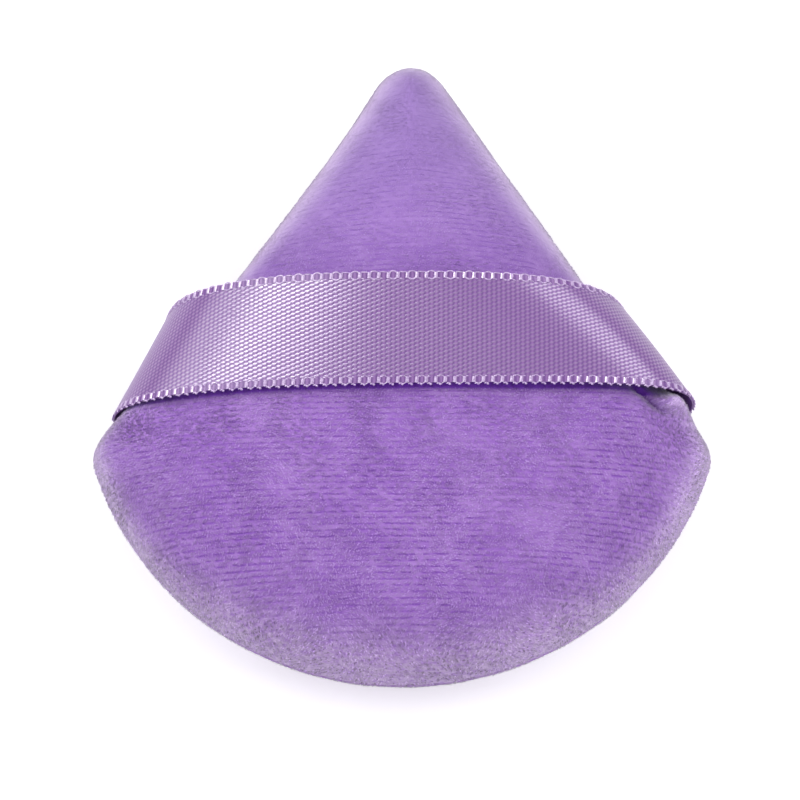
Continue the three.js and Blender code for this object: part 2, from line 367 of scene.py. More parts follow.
def gatherCloth(face, lay):
    points = readPoints(face)
    clear = smoothStep((points[:, 2] - cushion["seamHeight"] - 0.5 * mm) / (2.5 * mm))  # the seam stays put
    path = np.array(lay["crease"]) * mm
    fine = np.concatenate([np.linspace(a, b, 20) for a, b in zip(path[:-1], path[1:])])
    gap = np.sqrt(((points[:, None, :2] - fine[None]) ** 2).sum(2)).min(1) / lay["creaseWidth"]
    points[:, 2] -= lay["creaseDepth"] * np.exp(-gap ** 2)
    for lump in lay["lumps"]:
        points += np.outer(lumpShare(points, lump) * clear, np.array(lump["push"]) * mm)
    setPoints(face, points)


gatherCloth(puffTop, gather)


def ripple(points, size, seed, waves=24):  # a smooth seeded unevenness over x and y, about -1 to 1
    draw = np.random.default_rng(seed)
    angle, phase = draw.uniform(0, 2 * math.pi, (2, waves))
    pace = 2 * math.pi / (size * draw.uniform(0.7, 1.5, waves))
    ways = np.outer(points[:, 0], pace * np.cos(angle)) + np.outer(points[:, 1], pace * np.sin(angle))
    return np.cos(ways + phase).sum(1) * math.sqrt(2 / waves)


wearAndSheen = {  # how far in from the seam the pile is tinted pale, partly for wear and partly as painted sheen and light
    "anywhere": 2.6 * mm,
    "roundEdge": 4.6 * mm,
    "besideTip": 2.4 * mm,
    "tipRun": 20 * mm,  # up from the middle
    "corner": 2.2 * mm,
    "cornerFrom": 20 * mm,  # out from the middle
    "cornerRun": 14 * mm,
    "leftCorner": 0.4,  # of the right one's
    "falloff": 1.3,
}


def rimShare(points):  # 1 at the seam, 0 well inside: pale from wear and from painted sheen
    far, mark = nearestRim(points)
    facing = smoothStep((outlineInward[mark, 1] - 0.55) / 0.45)
    upper = smoothStep(points[:, 1] / wearAndSheen["tipRun"])
    corner = smoothStep((np.abs(points[:, 0]) - wearAndSheen["cornerFrom"]) / wearAndSheen["cornerRun"]) * (1 - facing)
    corner *= np.where(points[:, 0] < 0, wearAndSheen["leftCorner"], 1.0)
    width = wearAndSheen["anywhere"] + wearAndSheen["roundEdge"] * facing + wearAndSheen["besideTip"] * upper + wearAndSheen["corner"] * corner
    share = (1 - smoothStep(far / width)) ** wearAndSheen["falloff"]
    for lump in gather["lumps"]:  # painted light: pale where it bunches up
        share = np.maximum(share, lump["wearAndPaintedLight"] * lumpShare(points, lump))
    return share


pile = {
    "length": 0.40 * mm,
    "root": 0.16 * mm,
    "sunk": 0.08 * mm,
    "leanLow": 40.0,  # degrees from upright
    "leanHigh": 64.0,
    "flatter": 9.0,  # how much further it leans towards the tip
    "shorter": 0.45,
    "coursePitch": 0.67 * mm,
    "courseGap": 0.16,
    "courseWander": 0.06 * mm,
    "uneven": {  # size and seed
        "wander": (7 * mm, 3),
        "brushed": (11 * mm, 5),
        "way": (13 * mm, 11),
        "lean": (6 * mm, 17),
    },
    "sown": 56000,
    "most": 49500,
}


def growPile(name, face, lay, seed):  # short leaning tufts, thinned along the knitted courses
    draw = np.random.default_rng(seed)
    corners = np.empty(len(face.data.loops), dtype=np.int32)
    face.data.loops.foreach_get("vertex_index", corners)
    cells = corners.reshape(-1, 4)
    points, normals = readPoints(face), readNormals(face)
    across = np.cross(points[cells[:, 2]] - points[cells[:, 0]], points[cells[:, 3]] - points[cells[:, 1]])
    share = np.linalg.norm(across, axis=1)
    times = np.floor(lay["sown"] * share / share.sum() + draw.random(len(cells))).astype(int)
    cells = np.repeat(cells, times, axis=0)
    order = np.arange(len(cells))
    u, v = ((order * 0.7548777) % 1)[:, None], ((order * 0.5698403) % 1)[:, None]  # spread evenly
    parts = [(1 - u) * (1 - v), u * (1 - v), u * v, (1 - u) * v]
    spots = sum(w * points[cells[:, k]] for k, w in enumerate(parts))
    ups = sum(w * normals[cells[:, k]] for k, w in enumerate(parts))
    uneven = lay["uneven"]
    wander = lay["courseWander"] * ripple(spots, *uneven["wander"])
    phase = ((spots[:, 1] + wander) / lay["coursePitch"]) % 1
    inGap = np.minimum(phase, 1 - phase) < lay["courseGap"]
    brushed = smoothStep(0.5 + 0.9 * ripple(spots, *uneven["brushed"]))
    chance = np.where(inGap, 0.3 + 0.6 * brushed, 1.0)
    kept = np.nonzero(draw.random(len(spots)) < chance)[0]
    kept = np.sort(draw.permutation(kept)[:lay["most"]])
    spots, ups, brushed = spots[kept], ups[kept], brushed[kept]
    ups /= np.linalg.norm(ups, axis=1)[:, None]
    count = len(spots)
    way = -math.pi / 2 + 0.9 * ripple(spots, *uneven["way"]) + 0.5 * draw.standard_normal(count)
    lean = np.column_stack([np.cos(way), np.sin(way), np.zeros(count)])
    lean -= ups * (lean * ups).sum(1)[:, None]
    lean /= np.maximum(np.linalg.norm(lean, axis=1), 1e-6)[:, None]
    side = np.cross(ups, lean)
    share = 0.5 + 0.45 * ripple(spots, *uneven["lean"]) + 0.25 * draw.standard_normal(count)
    nearTip = smoothStep((spots[:, 1] - 1 * mm) / (9 * mm))
    smoothed = nearTip * smoothStep((ups[:, 2] - 0.1) / 0.6)  # brushed flat there, but not on the walls
    tilt = lay["leanLow"] + (lay["leanHigh"] - lay["leanLow"]) * np.clip(share, 0, 1)
    tilt = np.radians(tilt + lay["flatter"] * smoothed)[:, None]
    edge = rimShare(spots)
    far, _ = nearestRim(spots)
    long = lay["length"] * (0.75 + 0.5 * draw.random(count)) * (0.6 + 0.4 * smoothStep(far / (4 * mm)))
    long = (long * (1 - lay["shorter"] * smoothed))[:, None]
    wide = (lay["root"] * (0.8 + 0.5 * draw.random(count)))[:, None]
    base = spots - ups * lay["sunk"]
    tips = spots + long * (np.cos(tilt) * ups + np.sin(tilt) * lean)
    back, out = 0.5 * lean, 0.87 * side  # a three-sided root
    tufts = np.stack([base + wide * lean, base - wide * (back - out), base - wide * (back + out), tips], 1)
    tufts[:, :, 2] = np.maximum(tufts[:, :, 2], 0.03 * mm)
    sides = np.array([[0, 1, 3], [1, 2, 3], [2, 0, 3], [0, 2, 1]])
    faces = (np.arange(count)[:, None, None] * 4 + sides).reshape(-1, 3)
    mesh = bpy.data.meshes.new(name)
    mesh.vertices.add(count * 4)
    mesh.vertices.foreach_set("co", tufts.astype(np.float32).ravel())
    mesh.loops.add(len(faces) * 3)
    mesh.loops.foreach_set("vertex_index", faces.astype(np.int32).ravel())
    mesh.polygons.add(len(faces))
    mesh.polygons.foreach_set("loop_start", np.arange(0, len(faces) * 3, 3, dtype=np.int32))
    mesh.update(calc_edges=True)
    sheet = mesh.uv_layers.new(name="OFBake")
    spread = np.array([[0.1, 0.0], [-0.05, 0.09], [-0.05, -0.09], [0.0, 0.16]]) * mm
    flat = (spots[:, None, :2] + spread) / (90 * mm) + 0.5
    sheet.data.foreach_set("uv", flat.reshape(-1, 2)[faces.ravel()].astype(np.float32).ravel())
    marks = {
        "tip": np.tile([0.0, 0.0, 0.0, 1.0], count),
        "tone": np.repeat(np.clip(0.5 + 0.3 * draw.standard_normal(count) + 0.2 * (brushed - 0.5), 0, 1), 4),
        "rim": np.repeat(edge, 4),
    }
    for label, values in marks.items():
        mesh.attributes.new(label, "FLOAT", "POINT").data.foreach_set("value", values.astype(np.float32))
    tuftPiece = bpy.data.objects.new(name, mesh)
    bpy.context.scene.collection.objects.link(tuftPiece)
    take(tuftPiece)
    bpy.ops.object.shade_smooth()
    mesh.normals_split_custom_set_from_vertices(np.repeat(ups, 4, axis=0).tolist())  # lit as the cloth is
    return tuftPiece


handPile = growPile("puff_hand_pile", puffTop, pile, 41)
powderPile = growPile("puff_powder_pile", puffLow, pile, 43)
for tufts in (handPile, powderPile):
    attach(tufts, "puff")
print("pile grown:", len(handPile.data.polygons), "and", len(powderPile.data.polygons), "faces")


def turnEdgeIn(face, lay, side):  # gives the cloth its thickness and its turned-in edge
    outer = readPoints(face)
    normals = readNormals(face)
    count = len(outer)
    take(face)
    setMode("EDIT")
    bpy.ops.mesh.select_all(action="SELECT")
    bpy.ops.mesh.duplicate()
    bpy.ops.mesh.flip_normals()
    setMode("OBJECT")
    points = readPoints(face)
    inner = outer - normals * lay["cloth"]
    lipTop = lay["seamHeight"] + side * (lay["lipGap"] + lay["cloth"] + 0.1 * mm)
    inner[:, 2] = side * np.maximum(side * inner[:, 2], side * lipTop)
    points[count:] = inner
    setPoints(face, points)

    def rimEdges(low, high):
        bpy.ops.mesh.select_mode(type="EDGE")
        bpy.ops.mesh.select_all(action="DESELECT")
        bpy.ops.mesh.select_non_manifold(
            use_wire=False, use_multi_face=False, use_non_contiguous=False, use_verts=False)
        setMode("OBJECT")
        for edge in face.data.edges:
            edge.select = edge.select and all(low <= i < high for i in edge.vertices)
        for vert in face.data.vertices:
            vert.select = False
        for poly in face.data.polygons:
            poly.select = False
        setMode("EDIT")

    setMode("EDIT")
    rimEdges(0, count)
    gap = lay["lipGap"]
    for inward, height in ((lay["seamGroove"], 0.1 * mm), (lay["lip"], gap), (lay["lip"], gap + lay["cloth"])):
        bpy.ops.mesh.extrude_edges_move()
        setMode("OBJECT")
        ring = pickedVerts(face)
        points = readPoints(face)
        _, mark = nearestRim(points[ring])
        points[ring, :2] = outline[mark] + outlineInward[mark] * inward
        points[ring, 2] = lay["seamHeight"] + side * height
        setPoints(face, points)
        setMode("EDIT")
    setMode("OBJECT")
    total = len(face.data.vertices)
    setMode("EDIT")
    rimEdges(count, total)
    bpy.ops.mesh.bridge_edge_loops()
    bpy.ops.mesh.select_all(action="SELECT")
    bpy.ops.mesh.normals_make_consistent(inside=False)
    setMode("OBJECT")
    bpy.ops.object.shade_smooth_by_angle(angle=math.radians(50))


for puffFace, puffSide in ((puffTop, 1), (puffLow, -1)):
    turnEdgeIn(puffFace, cushion, puffSide)
    rim = puffFace.data.attributes.new("rim", "FLOAT", "POINT")
    rim.data.foreach_set("value", rimShare(readPoints(puffFace)).astype(np.float32))
    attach(puffFace, "puff")
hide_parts("hand_velour_panel")
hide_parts("powder_velour_panel")
print("velour faces:", len(puffTop.data.polygons), "and", len(puffLow.data.polygons), "cells")

# the ribbon, whose pattern is drawn flat and then laid over its arch
strap = {
    "width": 13.0 * mm,
    "ground": 12.3 * mm,  # woven part, between the outer cords
    "thickness": 0.3 * mm,
    "lowY": -6.5 * mm,
    "highY": 6.07 * mm,
    "skew": 0.3 * mm,  # right end up, left end down
    "skewOver": 34 * mm,
    "lowCrown": 13.9 * mm,
    "highCrown": 17.9 * mm,
    "leftFeet": (33.8 * mm, 27.0 * mm),  # lower edge, upper edge
    "rightFeet": (33.9 * mm, 25.6 * mm),
    "leftSquareness": (2.4, 2.6),
    "rightSquareness": (4.4, 2.5),
    "leftCurl": (0.0, 0.0),  # how far each foot draws back in under the bulge
    "rightCurl": (0.7 * mm, 0.0),
    "curlHeight": 4.0 * mm,
    "tail": 4.0 * mm,
    "footRound": 0.4 * mm,
    "step": 0.05 * mm,
    "reach": 62 * mm,
    "lines": 33,
}


def strapLine(lay, q):  # one line along the ribbon, q from 0 at the lower edge to 1 at the upper
    def between(pair):
        return pair[0] + (pair[1] - pair[0]) * q
    crown = between((lay["lowCrown"], lay["highCrown"]))
    y = between((lay["lowY"], lay["highY"]))
    turn = np.linspace(0, math.pi / 2, 900)[1:]
    legs = []
    for side, name in ((-1, "left"), (1, "right")):
        foot, power, curl = (between(lay[name + key]) for key in ("Feet", "Squareness", "Curl"))
        tailEnd = abs(seamReach(y, side)) - lay["tail"]
        tail = np.linspace(tailEnd, foot - curl, 80)
        rise = crown * np.sin(turn) ** (2 / power)
        drawn = curl * smoothStep(1 - rise / lay["curlHeight"])
        x = np.concatenate([tail, foot * np.cos(turn) ** (2 / power) - drawn])
        z = np.concatenate([tail * 0, rise])
        legs.append(np.stack([side * x, z], 1))
    line = np.concatenate([legs[0], legs[1][::-1][1:]])
    far = np.concatenate([[0], np.cumsum(np.hypot(*np.diff(line, axis=0).T))])
    marks = np.arange(0, far[-1], lay["step"])
    line = np.stack([np.interp(marks, far, line[:, 0]), np.interp(marks, far, line[:, 1])], 1)
    spread = int(3 * lay["footRound"] / lay["step"])
    weight = np.exp(-0.5 * (np.arange(-spread, spread + 1) * lay["step"] / lay["footRound"]) ** 2)
    weight /= weight.sum()
    for axis in (0, 1):
        before = 2 * line[0, axis] - line[spread:0:-1, axis]
        after = 2 * line[-1, axis] - line[-2:-spread - 2:-1, axis]
        line[:, axis] = np.convolve(np.concatenate([before, line[:, axis], after]), weight, "valid")
    far = np.concatenate([[0], np.cumsum(np.hypot(*np.diff(line, axis=0).T))])
    middle = np.interp(0, line[300:-300, 0], far[300:-300])  # without the ends, which turn back
    skewed = y + lay["skew"] * line[:, 0] / lay["skewOver"]
    return far - middle, np.column_stack([line[:, 0], skewed, cushion["seamHeight"] + line[:, 1]])


def strapTable(lay):
    shares = np.linspace(-0.1, 1.1, lay["lines"])
    marks = np.arange(-lay["reach"], lay["reach"] + lay["step"], lay["step"])
    rows, ends = [], []
    for q in shares:
        far, line = strapLine(lay, q)
        row = np.stack([np.interp(marks, far, line[:, axis]) for axis in range(3)], 1)
        for past, end, inner in ((marks < far[0], 0, 5), (marks > far[-1], -1, -6)):
            way = (line[end] - line[inner]) / np.linalg.norm(line[end] - line[inner])
            row[past] = line[end] + way * np.abs(marks[past] - far[end])[:, None]
        rows.append(row)
        ends.append((far[0], far[-1]))
    return {"shares": shares, "marks": marks, "rows": np.array(rows), "ends": np.array(ends)}


strapLay = strapTable(strap)


def onStrap(along, q, up=0.0):  # from the flat ribbon to its place on the arch
    def spot(a, b):
        marks, shares = strapLay["marks"], strapLay["shares"]
        i = np.clip((a - marks[0]) / strap["step"], 0, len(marks) - 1.001)
        j = np.clip((b - shares[0]) / (shares[1] - shares[0]), 0, len(shares) - 1.001)
        i0, j0 = i.astype(int), j.astype(int)
        fi, fj = (i - i0)[:, None], (j - j0)[:, None]
        rows = strapLay["rows"]
        low = rows[j0, i0] * (1 - fi) + rows[j0, i0 + 1] * fi
        high = rows[j0 + 1, i0] * (1 - fi) + rows[j0 + 1, i0 + 1] * fi
        return low * (1 - fj) + high * fj
    along, q = np.asarray(along, float), np.asarray(q, float)
    step = 0.15 * mm
    run = spot(along + step, q) - spot(along - step, q)
    rise = spot(along, q + 0.02) - spot(along, q - 0.02)
    normal = np.cross(run, rise)
    normal /= np.linalg.norm(normal, axis=1)[:, None]
    return spot(along, q) + normal * np.asarray(up, float).reshape(-1, 1)


def strapEnds(q):
    return [np.interp(q, strapLay["shares"], strapLay["ends"][:, end]) for end in (0, 1)]


def weaveRibbon(lay):
    dropSelection()
    bpy.ops.mesh.primitive_grid_add(x_subdivisions=300, y_subdivisions=24, size=1)
    ribbon = justAdded("strap_ribbon")
    flat = readPoints(ribbon)
    q = 0.5 + flat[:, 1] * lay["ground"] / lay["width"]
    low, high = strapEnds(q)
    along = low + (flat[:, 0] + 0.5) * (high - low)
    sheet = ribbon.data.uv_layers.active
    sheet.name = "weave"
    corners = np.empty(len(ribbon.data.loops), dtype=np.int32)
    ribbon.data.loops.foreach_get("vertex_index", corners)
    uv = np.stack([along[corners] / (2 * lay["reach"]) + 0.5, q[corners]], 1)
    sheet.data.foreach_set("uv", uv.astype(np.float32).ravel())
    setPoints(ribbon, onStrap(along, q))
    applyModifier(ribbon, "SOLIDIFY", thickness=lay["thickness"], offset=0)
    bpy.ops.object.shade_smooth_by_angle(angle=math.radians(40))
    return ribbon


ribbon = weaveRibbon(strap)
print("ribbon laid:", len(ribbon.data.polygons), "cells")

picot = {
    "pitch": 1.07 * mm,
    "bar": 0.21 * mm,
    "barHeight": 0.5,
    "barLength": 0.66 * mm,
    "barFromEdge": 0.70 * mm,
    "thread": 0.08 * mm,
    "ring": 0.09 * mm,
    "arch": 0.46 * mm,
    "bead": 0.14 * mm,
    "beadFromEdge": 0.19 * mm,
    "outerFromEdge": 0.34 * mm,
    "innerFromEdge": 1.06 * mm,
    "innerBead": (0.3, 2.2, 10),  # share of the pitch, length, turn in degrees
    "edgeBead": (0.47, 1.2, 20),
    "tieBead": (0.25, 2.6, -20),
    "topBead": (1.5, 5.5, 4),
    "endGap": 4.2 * mm,
    "fade": 11.0 * mm,  # the loops lie flatter and further in towards the feet
}


def edgeLoops(name, lay, edge):  # edge -1 lower, 1 upper
    q = 0.5 + edge * 0.5
    low, high = (float(v) for v in strapEnds(q))
    low, high = low + lay["endGap"], high - lay["endGap"]
    pitch = lay["pitch"]
    count = int((high - low) / (2 * pitch))
    face = strap["thickness"] / 2

    def addBar(x):
        spot = (x, -edge * lay["barFromEdge"], face + 0.04 * mm)
        bpy.ops.mesh.select_all(action="DESELECT")
        bpy.ops.mesh.primitive_cylinder_add(
            vertices=8, radius=lay["bar"], depth=lay["barLength"], location=spot,
            rotation=(math.radians(90), 0, math.radians(-6)))
        bpy.ops.transform.resize(value=(1, 1, lay["barHeight"]), center_override=spot)

    def addBead(x, fromEdge, radius, bead):
        share, length, turn = bead
        spot = (x + share * pitch, -edge * fromEdge, face)
        bpy.ops.mesh.select_all(action="DESELECT")
        bpy.ops.mesh.primitive_uv_sphere_add(segments=8, ring_count=6, radius=radius, location=spot)
        bpy.ops.transform.resize(value=(length, 1, 1), center_override=spot)
        bpy.ops.transform.rotate(value=math.radians(turn), orient_axis="Z", center_override=spot)

    dropSelection()
    tube = lay["ring"] if edge > 0 else lay["thread"] * 0.7
    bpy.ops.mesh.primitive_torus_add(major_segments=20, minor_segments=6, major_radius=pitch / 2, minor_radius=tube)
    loops = justAdded(name)
    setMode("EDIT")
    bpy.ops.transform.resize(value=(0.94, 2 * lay["arch"] / pitch, 0.7))
    bpy.ops.transform.translate(value=(pitch / 2, -edge * lay["barFromEdge"], face + 0.03 * mm))
    for x in (0, pitch):
        addBar(x)
        addBead(x, lay["innerFromEdge"], lay["thread"], lay["innerBead"])
        if edge < 0:
            addBead(x, lay["beadFromEdge"], lay["bead"], lay["edgeBead"])
            addBead(x, lay["outerFromEdge"] - 0.06 * mm, lay["thread"], lay["tieBead"])
    if edge > 0:
        addBead(0, lay["outerFromEdge"], lay["thread"], lay["topBead"])
    setMode("OBJECT")
    applyModifier(
        loops, "ARRAY", count=count, use_relative_offset=False, use_constant_offset=True,
        constant_offset_displace=(2 * pitch, 0, 0))
    flat = readPoints(loops)
    along = flat[:, 0] - (2 * count - 1) * pitch / 2 + (low + high) / 2
    sunk = 1 - smoothStep(np.minimum(along - low, high - along) / lay["fade"])
    inward = (0.3 if edge > 0 else 0.08) * mm * sunk
    setPoints(loops, onStrap(along, q + (flat[:, 1] - edge * inward) / strap["width"], flat[:, 2] * (1 - 0.65 * sunk)))
    take(loops)
    bpy.ops.object.shade_smooth_by_angle(angle=math.radians(60))
    return loops


lowerLoops = edgeLoops("strap_lower_loops", picot, -1)
upperLoops = edgeLoops("strap_upper_loops", picot, 1)
strapPieces = (ribbon, lowerLoops, upperLoops)
for piece in strapPieces:
    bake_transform(piece)
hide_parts("strap_crown", "strap_right_leg", "strap_left_leg")
print("edge loops laid:", len(lowerLoops.data.polygons), "and", len(upperLoops.data.polygons), "cells")


foamCut = {"voxel": 1.0 * mm, "shrink": 0.6 * mm}  # shrunk to stay within the cloth


def foamBlock(name, cut):  # the foam inside, from its solid, rounded off
    take(bpy.data.objects["foam_core"])
    bpy.ops.object.duplicate()
    foam = justAdded(name)
    setMode("EDIT")
    bpy.ops.mesh.select_all(action="SELECT")
    bpy.ops.mesh.remove_doubles(threshold=0.001 * mm)
    setMode("OBJECT")
    foam.data.remesh_voxel_size = cut["voxel"]
    bpy.ops.object.voxel_remesh()
    applyModifier(foam, "SMOOTH", factor=0.5, iterations=4)
    applyModifier(foam, "DISPLACE", strength=-cut["shrink"], mid_level=0.0)
    points = readPoints(foam)
    points[:, 0] += tipShift(puffCut, points[:, 1])
    setPoints(foam, points)
    take(foam)
    bpy.ops.object.shade_smooth()
    return foam


def newMaterial(name):
    material = bpy.data.materials.new(name)
    material.use_nodes = True
    tree = material.node_tree
    return material, tree, tree.nodes["Principled BSDF"]


def node(tree, kind, **settings):
    made = tree.nodes.new(kind)
    for name, value in settings.items():
        setattr(made, name, value)
    return made


def feed(tree, socket, value):  # a link from another node's socket, or a plain value
    if isinstance(value, bpy.types.NodeSocket):
        tree.links.new(value, socket)
    else:
        socket.default_value = value


def setInputs(made, values):
    for name, value in values.items():
        made.inputs[name].default_value = value


def maths(tree, operation, first, second=None, third=None, clamp=False):
    made = node(tree, "ShaderNodeMath", operation=operation, use_clamp=clamp)
    for socket, value in zip(made.inputs, (first, second, third)):
        if value is not None:
            feed(tree, socket, value)
    return made.outputs[0]


def noise(tree, where, scale, detail=2.0, roughness=0.5, stretch=None):
    if stretch:
        spread = node(tree, "ShaderNodeMapping")
        setInputs(spread, {"Scale": stretch})
        feed(tree, spread.inputs["Vector"], where)
        where = spread.outputs[0]
    made = node(tree, "ShaderNodeTexNoise")
    feed(tree, made.inputs["Vector"], where)
    setInputs(made, {"Scale": scale, "Detail": detail, "Roughness": roughness})
    return made.outputs["Fac"]


def ramp(tree, value, low, high, start=0.0, end=1.0):
    made = node(tree, "ShaderNodeMapRange", interpolation_type="SMOOTHSTEP")
    setInputs(made, {"From Min": low, "From Max": high, "To Min": start, "To Max": end})
    feed(tree, made.inputs["Value"], value)
    return made.outputs["Result"]


def mixColours(tree, share, first, second):
    made = node(tree, "ShaderNodeMix", data_type="RGBA")
    feed(tree, made.inputs[0], share)
    feed(tree, made.inputs[6], first)
    feed(tree, made.inputs[7], second)
    return made.outputs[2]


def bump(tree, height, strength, distance):
    made = node(tree, "ShaderNodeBump")
    setInputs(made, {"Strength": strength, "Distance": distance})
    feed(tree, made.inputs["Height"], height)
    return made.outputs[0]


velourFinish = {
    # painted shade at the roots of the pile, where the tufts shade each other
    "root": colour(144, 99, 186),
    "pile": colour(167, 125, 203),
    "brushed": colour(177, 143, 209),
    "course": colour(132, 82, 180),
    # pale edge: partly wear, partly painted sheen
    "edge": colour(194, 173, 209),
    # painted sheen and light: the pile tinted greyer towards the tip
    "upper": colour(155, 126, 191),
    # painted light: a brighter pale edge near the tip and on the bunched cloth
    "upperEdge": colour(220, 196, 238),
    "paintedShadow": colour(112, 42, 184),  # painted shadow: a deep violet line on the velour just beneath the ribbon's lower edge
    "paintedShadowStart": (-0.15 * mm, 0.25 * mm),  # up from that edge
    "paintedShadowEnd": (1.2 * mm, 2.8 * mm),
    "paintedShadowShare": 0.85,
    "paintedShadowRight": (29 * mm, 32.5 * mm),  # fades out along x
    "paintedShadowAbove": (11 * mm, 13 * mm),  # on the hand side only
    "bunchRight": (28 * mm, 30 * mm),  # painted light on the bunched cloth at the right end
    "bunchAbove": (13.5 * mm, 15.5 * mm),
    "coursePitch": pile["coursePitch"],
    "courseWander": 0.16 * mm,
    "courseShake": 0.07 * mm,
    "surface": {
        "Roughness": 0.9,
        "Specular IOR Level": 0.12,
        "Sheen Weight": 0.8,
        "Sheen Roughness": 0.45,
        "Sheen Tint": (0.90, 0.86, 0.96, 1.0),
    },
}


def velourPattern(tree, finish):  # dark broken course lines and lighter brushed patches
    place = node(tree, "ShaderNodeTexCoord").outputs["Object"]
    split = node(tree, "ShaderNodeSeparateXYZ")
    feed(tree, split.inputs[0], place)
    wander = maths(tree, "SUBTRACT", noise(tree, place, 260, 3), 0.5)
    row = maths(tree, "MULTIPLY_ADD", wander, finish["courseWander"] * 2, split.outputs["Y"])
    shake = maths(tree, "SUBTRACT", noise(tree, place, 1500, 2), 0.5)
    row = maths(tree, "MULTIPLY_ADD", shake, finish["courseShake"] * 2, row)
    fold = maths(tree, "PINGPONG", maths(tree, "DIVIDE", row, finish["coursePitch"]), 0.5)
    line = ramp(tree, fold, 0.04, 0.27, 1.0, 0.0)
    patches = ramp(tree, noise(tree, place, 75, 3, 0.6), 0.27, 0.60)
    breaks = ramp(tree, noise(tree, place, 1500, 2, 0.6, stretch=(0.7, 1.0, 1.0)), 0.38, 0.6)
    shown = maths(tree, "MULTIPLY", maths(tree, "MULTIPLY", line, patches), breaks)
    broad = noise(tree, place, 120, 3, 0.6)
    streak = noise(tree, place, 1500, 2, 0.6, stretch=(0.35, 1.0, 1.0))
    brushed = ramp(tree, maths(tree, "MULTIPLY_ADD", streak, 0.7, maths(tree, "MULTIPLY", broad, 0.5)), 0.42, 0.78)
    upper = ramp(tree, split.outputs["Y"], -2 * mm, 34 * mm, 0.0, 0.75)  # painted sheen and light: the pile turns greyer towards the tip
    bunched = ramp(tree, split.outputs["X"], *finish["bunchRight"])
    bunched = maths(tree, "MULTIPLY", bunched, ramp(tree, split.outputs["Z"], *finish["bunchAbove"]))
    # painted light: the pale edge turns brighter towards the tip and on the bunched cloth
    paintedLightShare = maths(tree, "MAXIMUM", ramp(tree, split.outputs["Y"], -5 * mm, 12 * mm), bunched)
    paleEdge = mixColours(tree, paintedLightShare, finish["edge"], finish["upperEdge"])
    # painted shadow: a deep violet band on the velour just beneath the ribbon's lower edge
    past = maths(tree, "MULTIPLY_ADD", split.outputs["X"], -strap["skew"] / strap["skewOver"], split.outputs["Y"])
    past = maths(tree, "SUBTRACT", past, strap["lowY"])
    paintedShadowLine = ramp(tree, past, *finish["paintedShadowStart"])
    for fade in (
            ramp(tree, past, *finish["paintedShadowEnd"], finish["paintedShadowShare"], 0.0),
            ramp(tree, split.outputs["X"], *finish["paintedShadowRight"], 1.0, 0.35),
            ramp(tree, split.outputs["Z"], *finish["paintedShadowAbove"])):
        paintedShadowLine = maths(tree, "MULTIPLY", paintedShadowLine, fade)
    return place, shown, brushed, upper, paleEdge, paintedShadowLine


def rimTint(tree, place):  # the pale edge, uneven: partly wear, partly painted sheen and light
    rim = node(tree, "ShaderNodeAttribute", attribute_name="rim").outputs["Fac"]
    wearAndPaintedLight = ramp(tree, noise(tree, place, 1700, 3, 0.7), 0.34, 0.62, 0.35, 1.15)
    split = node(tree, "ShaderNodeSeparateXYZ")
    feed(tree, split.inputs[0], place)
    facing = node(tree, "ShaderNodeSeparateXYZ")
    feed(tree, facing.inputs[0], node(tree, "ShaderNodeTexCoord").outputs["Normal"])
    even = ramp(tree, split.outputs["Y"], -8 * mm, 10 * mm)  # evener beside the tip, but not on its walls
    even = maths(tree, "MULTIPLY", even, ramp(tree, facing.outputs["Z"], 0.05, 0.35))
    wearAndPaintedLight = maths(tree, "MULTIPLY_ADD", maths(tree, "SUBTRACT", 1.1, wearAndPaintedLight), even, wearAndPaintedLight)
    rough = maths(tree, "MULTIPLY_ADD", even, -0.85, 0.9)
    return maths(tree, "MULTIPLY", rim, wearAndPaintedLight, clamp=True), maths(tree, "MULTIPLY", rim, rough)


def velourGround(finish):
    material, tree, shader = newMaterial("velour_ground")
    place, shown, brushed, upper, paleEdge, paintedShadowLine = velourPattern(tree, finish)
    grain = noise(tree, place, 3000, 2, 0.6)
    rim, _ = rimTint(tree, place)
    # the ground between tufts takes the roots' painted shade, lighter where brushed
    tone = mixColours(tree, brushed, finish["root"], finish["pile"])
    tone = mixColours(tree, shown, tone, finish["course"])
    # painted sheen and light towards the tip
    tone = mixColours(tree, upper, tone, finish["upper"])
    # pale edge: partly wear, partly painted sheen and light
    tone = mixColours(tree, maths(tree, "MULTIPLY", rim, 0.7), tone, paleEdge)
    # painted shadow beneath the ribbon's lower edge
    tone = mixColours(tree, paintedShadowLine, tone, finish["paintedShadow"])
    feed(tree, shader.inputs["Base Color"], tone)
    height = maths(tree, "MULTIPLY_ADD", shown, -0.8, grain)
    feed(tree, shader.inputs["Normal"], bump(tree, height, 0.35, 0.08 * mm))
    setInputs(shader, finish["surface"])
    return material


